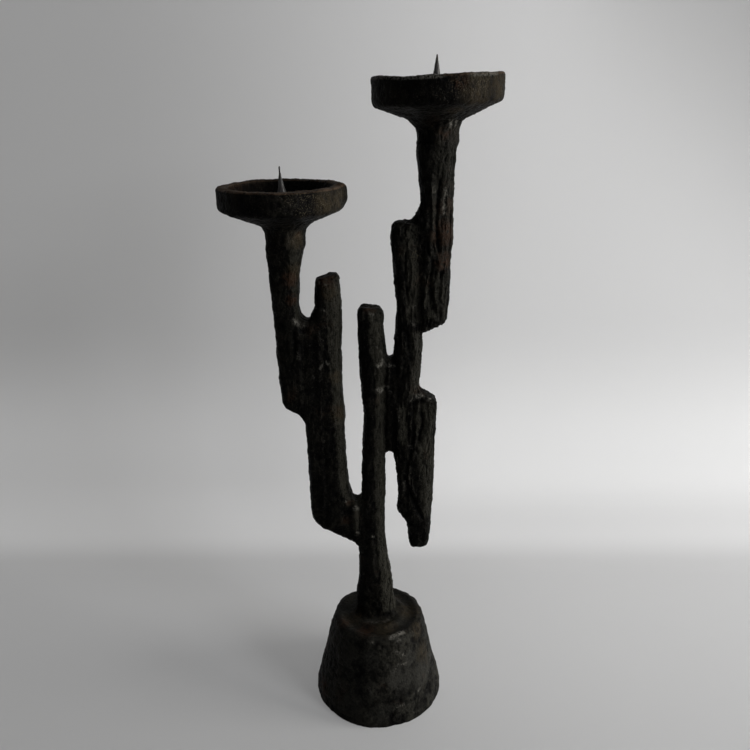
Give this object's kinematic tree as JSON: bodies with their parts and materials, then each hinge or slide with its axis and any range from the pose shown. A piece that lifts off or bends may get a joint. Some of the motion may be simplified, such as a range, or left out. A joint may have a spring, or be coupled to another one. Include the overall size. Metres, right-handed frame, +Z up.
{
  "type": "candlestick",
  "caption": "Branching pricket candlestick of rough dark iron bars welded side by side on a tapered round base, with spiked drip pans at stepped heights.",
  "frame": {"origin": "the centre of the base's foot, on the table", "axes": "+Z up, +X towards the taller right arm, +Y to the back"},
  "size_m": [0.1564, 0.087, 0.4143],
  "materials": {
    "base_iron": "rough hammered skin, nearly black with brown rust in the hollows",
    "bar_iron": "rough forged bar, dark brown-black, pitted and grooved along its length",
    "pan_iron": "rough turned iron, dark with brown rust at the rim",
    "weld_metal": "rippled weld metal, a little paler than the bars",
    "spike_steel": "dark ground steel, dull",
    "fastener_steel": "plain grey steel"
  },
  "bodies": {
    "root": {"base": "base_iron", "base_bolt": "fastener_steel", "base_washer": "fastener_steel", "base_lock_washer": "fastener_steel", "centre_bar": "bar_iron", "left_outer_bar": "bar_iron", "left_middle_bar": "bar_iron", "left_inner_bar": "bar_iron", "right_long_bar": "bar_iron", "right_upper_bar": "bar_iron", "right_lower_bar": "bar_iron", "left_pan": "pan_iron", "right_pan": "pan_iron", "left_spike": "spike_steel", "right_spike": "spike_steel", "left_arm_weld": "weld_metal", "left_outer_weld_front": "weld_metal", "left_outer_weld_back": "weld_metal", "left_inner_weld_front": "weld_metal", "left_inner_weld_back": "weld_metal", "right_arm_weld": "weld_metal", "right_upper_weld_front": "weld_metal", "right_upper_weld_back": "weld_metal", "right_lower_weld_front": "weld_metal", "right_lower_weld_back": "weld_metal"}
  },
  "joints": []
}
